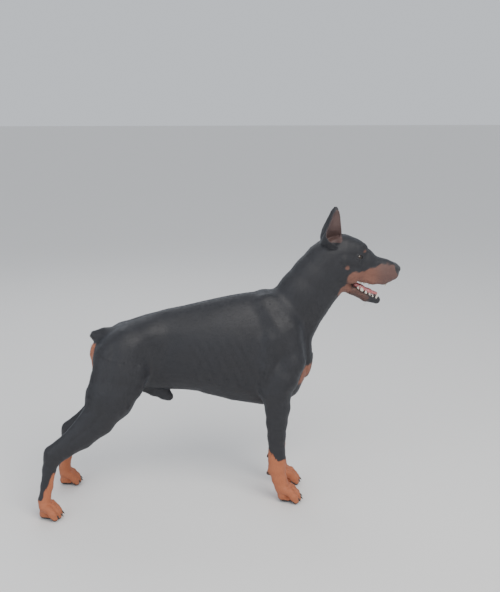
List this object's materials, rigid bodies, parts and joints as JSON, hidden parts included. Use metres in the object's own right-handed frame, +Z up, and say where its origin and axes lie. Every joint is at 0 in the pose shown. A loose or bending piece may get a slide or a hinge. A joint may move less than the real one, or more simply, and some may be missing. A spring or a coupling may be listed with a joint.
{
  "type": "doberman pinscher",
  "caption": "Life-size still model of a male doberman pinscher standing stretched, cropped upright ears, docked tail, mouth slightly open, black and rust short coat.",
  "frame": {"origin": "middle of the bounding box, at the floor the paws stand on", "axes": "+X towards the nose, +Y to the dog's left, +Z up"},
  "size_m": [1.1976, 0.3365, 0.969],
  "materials": {
    "coat_black": "short glossy black fur lying along the body",
    "coat_rust": "short rust-red fur",
    "nose_leather": "moist pebbled black nose leather",
    "eye": "wet dark brown eye",
    "claw": "dark smooth horn",
    "tongue": "moist pink tongue"
  },
  "bodies": {
    "root": {"claw_fore_l_1": "claw", "claw_fore_l_2": "claw", "claw_fore_l_3": "claw", "claw_fore_l_4": "claw", "claw_fore_r_1": "claw", "claw_fore_r_2": "claw", "claw_fore_r_3": "claw", "claw_fore_r_4": "claw", "claw_hind_l_1": "claw", "claw_hind_l_2": "claw", "claw_hind_l_3": "claw", "claw_hind_l_4": "claw", "claw_hind_r_1": "claw", "claw_hind_r_2": "claw", "claw_hind_r_3": "claw", "claw_hind_r_4": "claw", "ear_l": "coat_black", "ear_r": "coat_black", "eye_l": "eye", "eye_r": "eye", "foreleg_pastern_l": "coat_rust", "foreleg_pastern_r": "coat_rust", "foreleg_upper_l": "coat_black", "foreleg_upper_r": "coat_black", "forepaw_l": "coat_rust", "forepaw_r": "coat_rust", "head": "coat_black", "hindleg_lower_l": "coat_black", "hindleg_lower_r": "coat_black", "hindleg_pastern_l": "coat_rust", "hindleg_pastern_r": "coat_rust", "hindpaw_l": "coat_rust", "hindpaw_r": "coat_rust", "lower_jaw": "coat_black", "neck": "coat_black", "nose": "nose_leather", "tail": "coat_black", "thigh_l": "coat_black", "thigh_r": "coat_black", "tongue": "tongue", "trunk": "coat_black"}
  },
  "joints": []
}
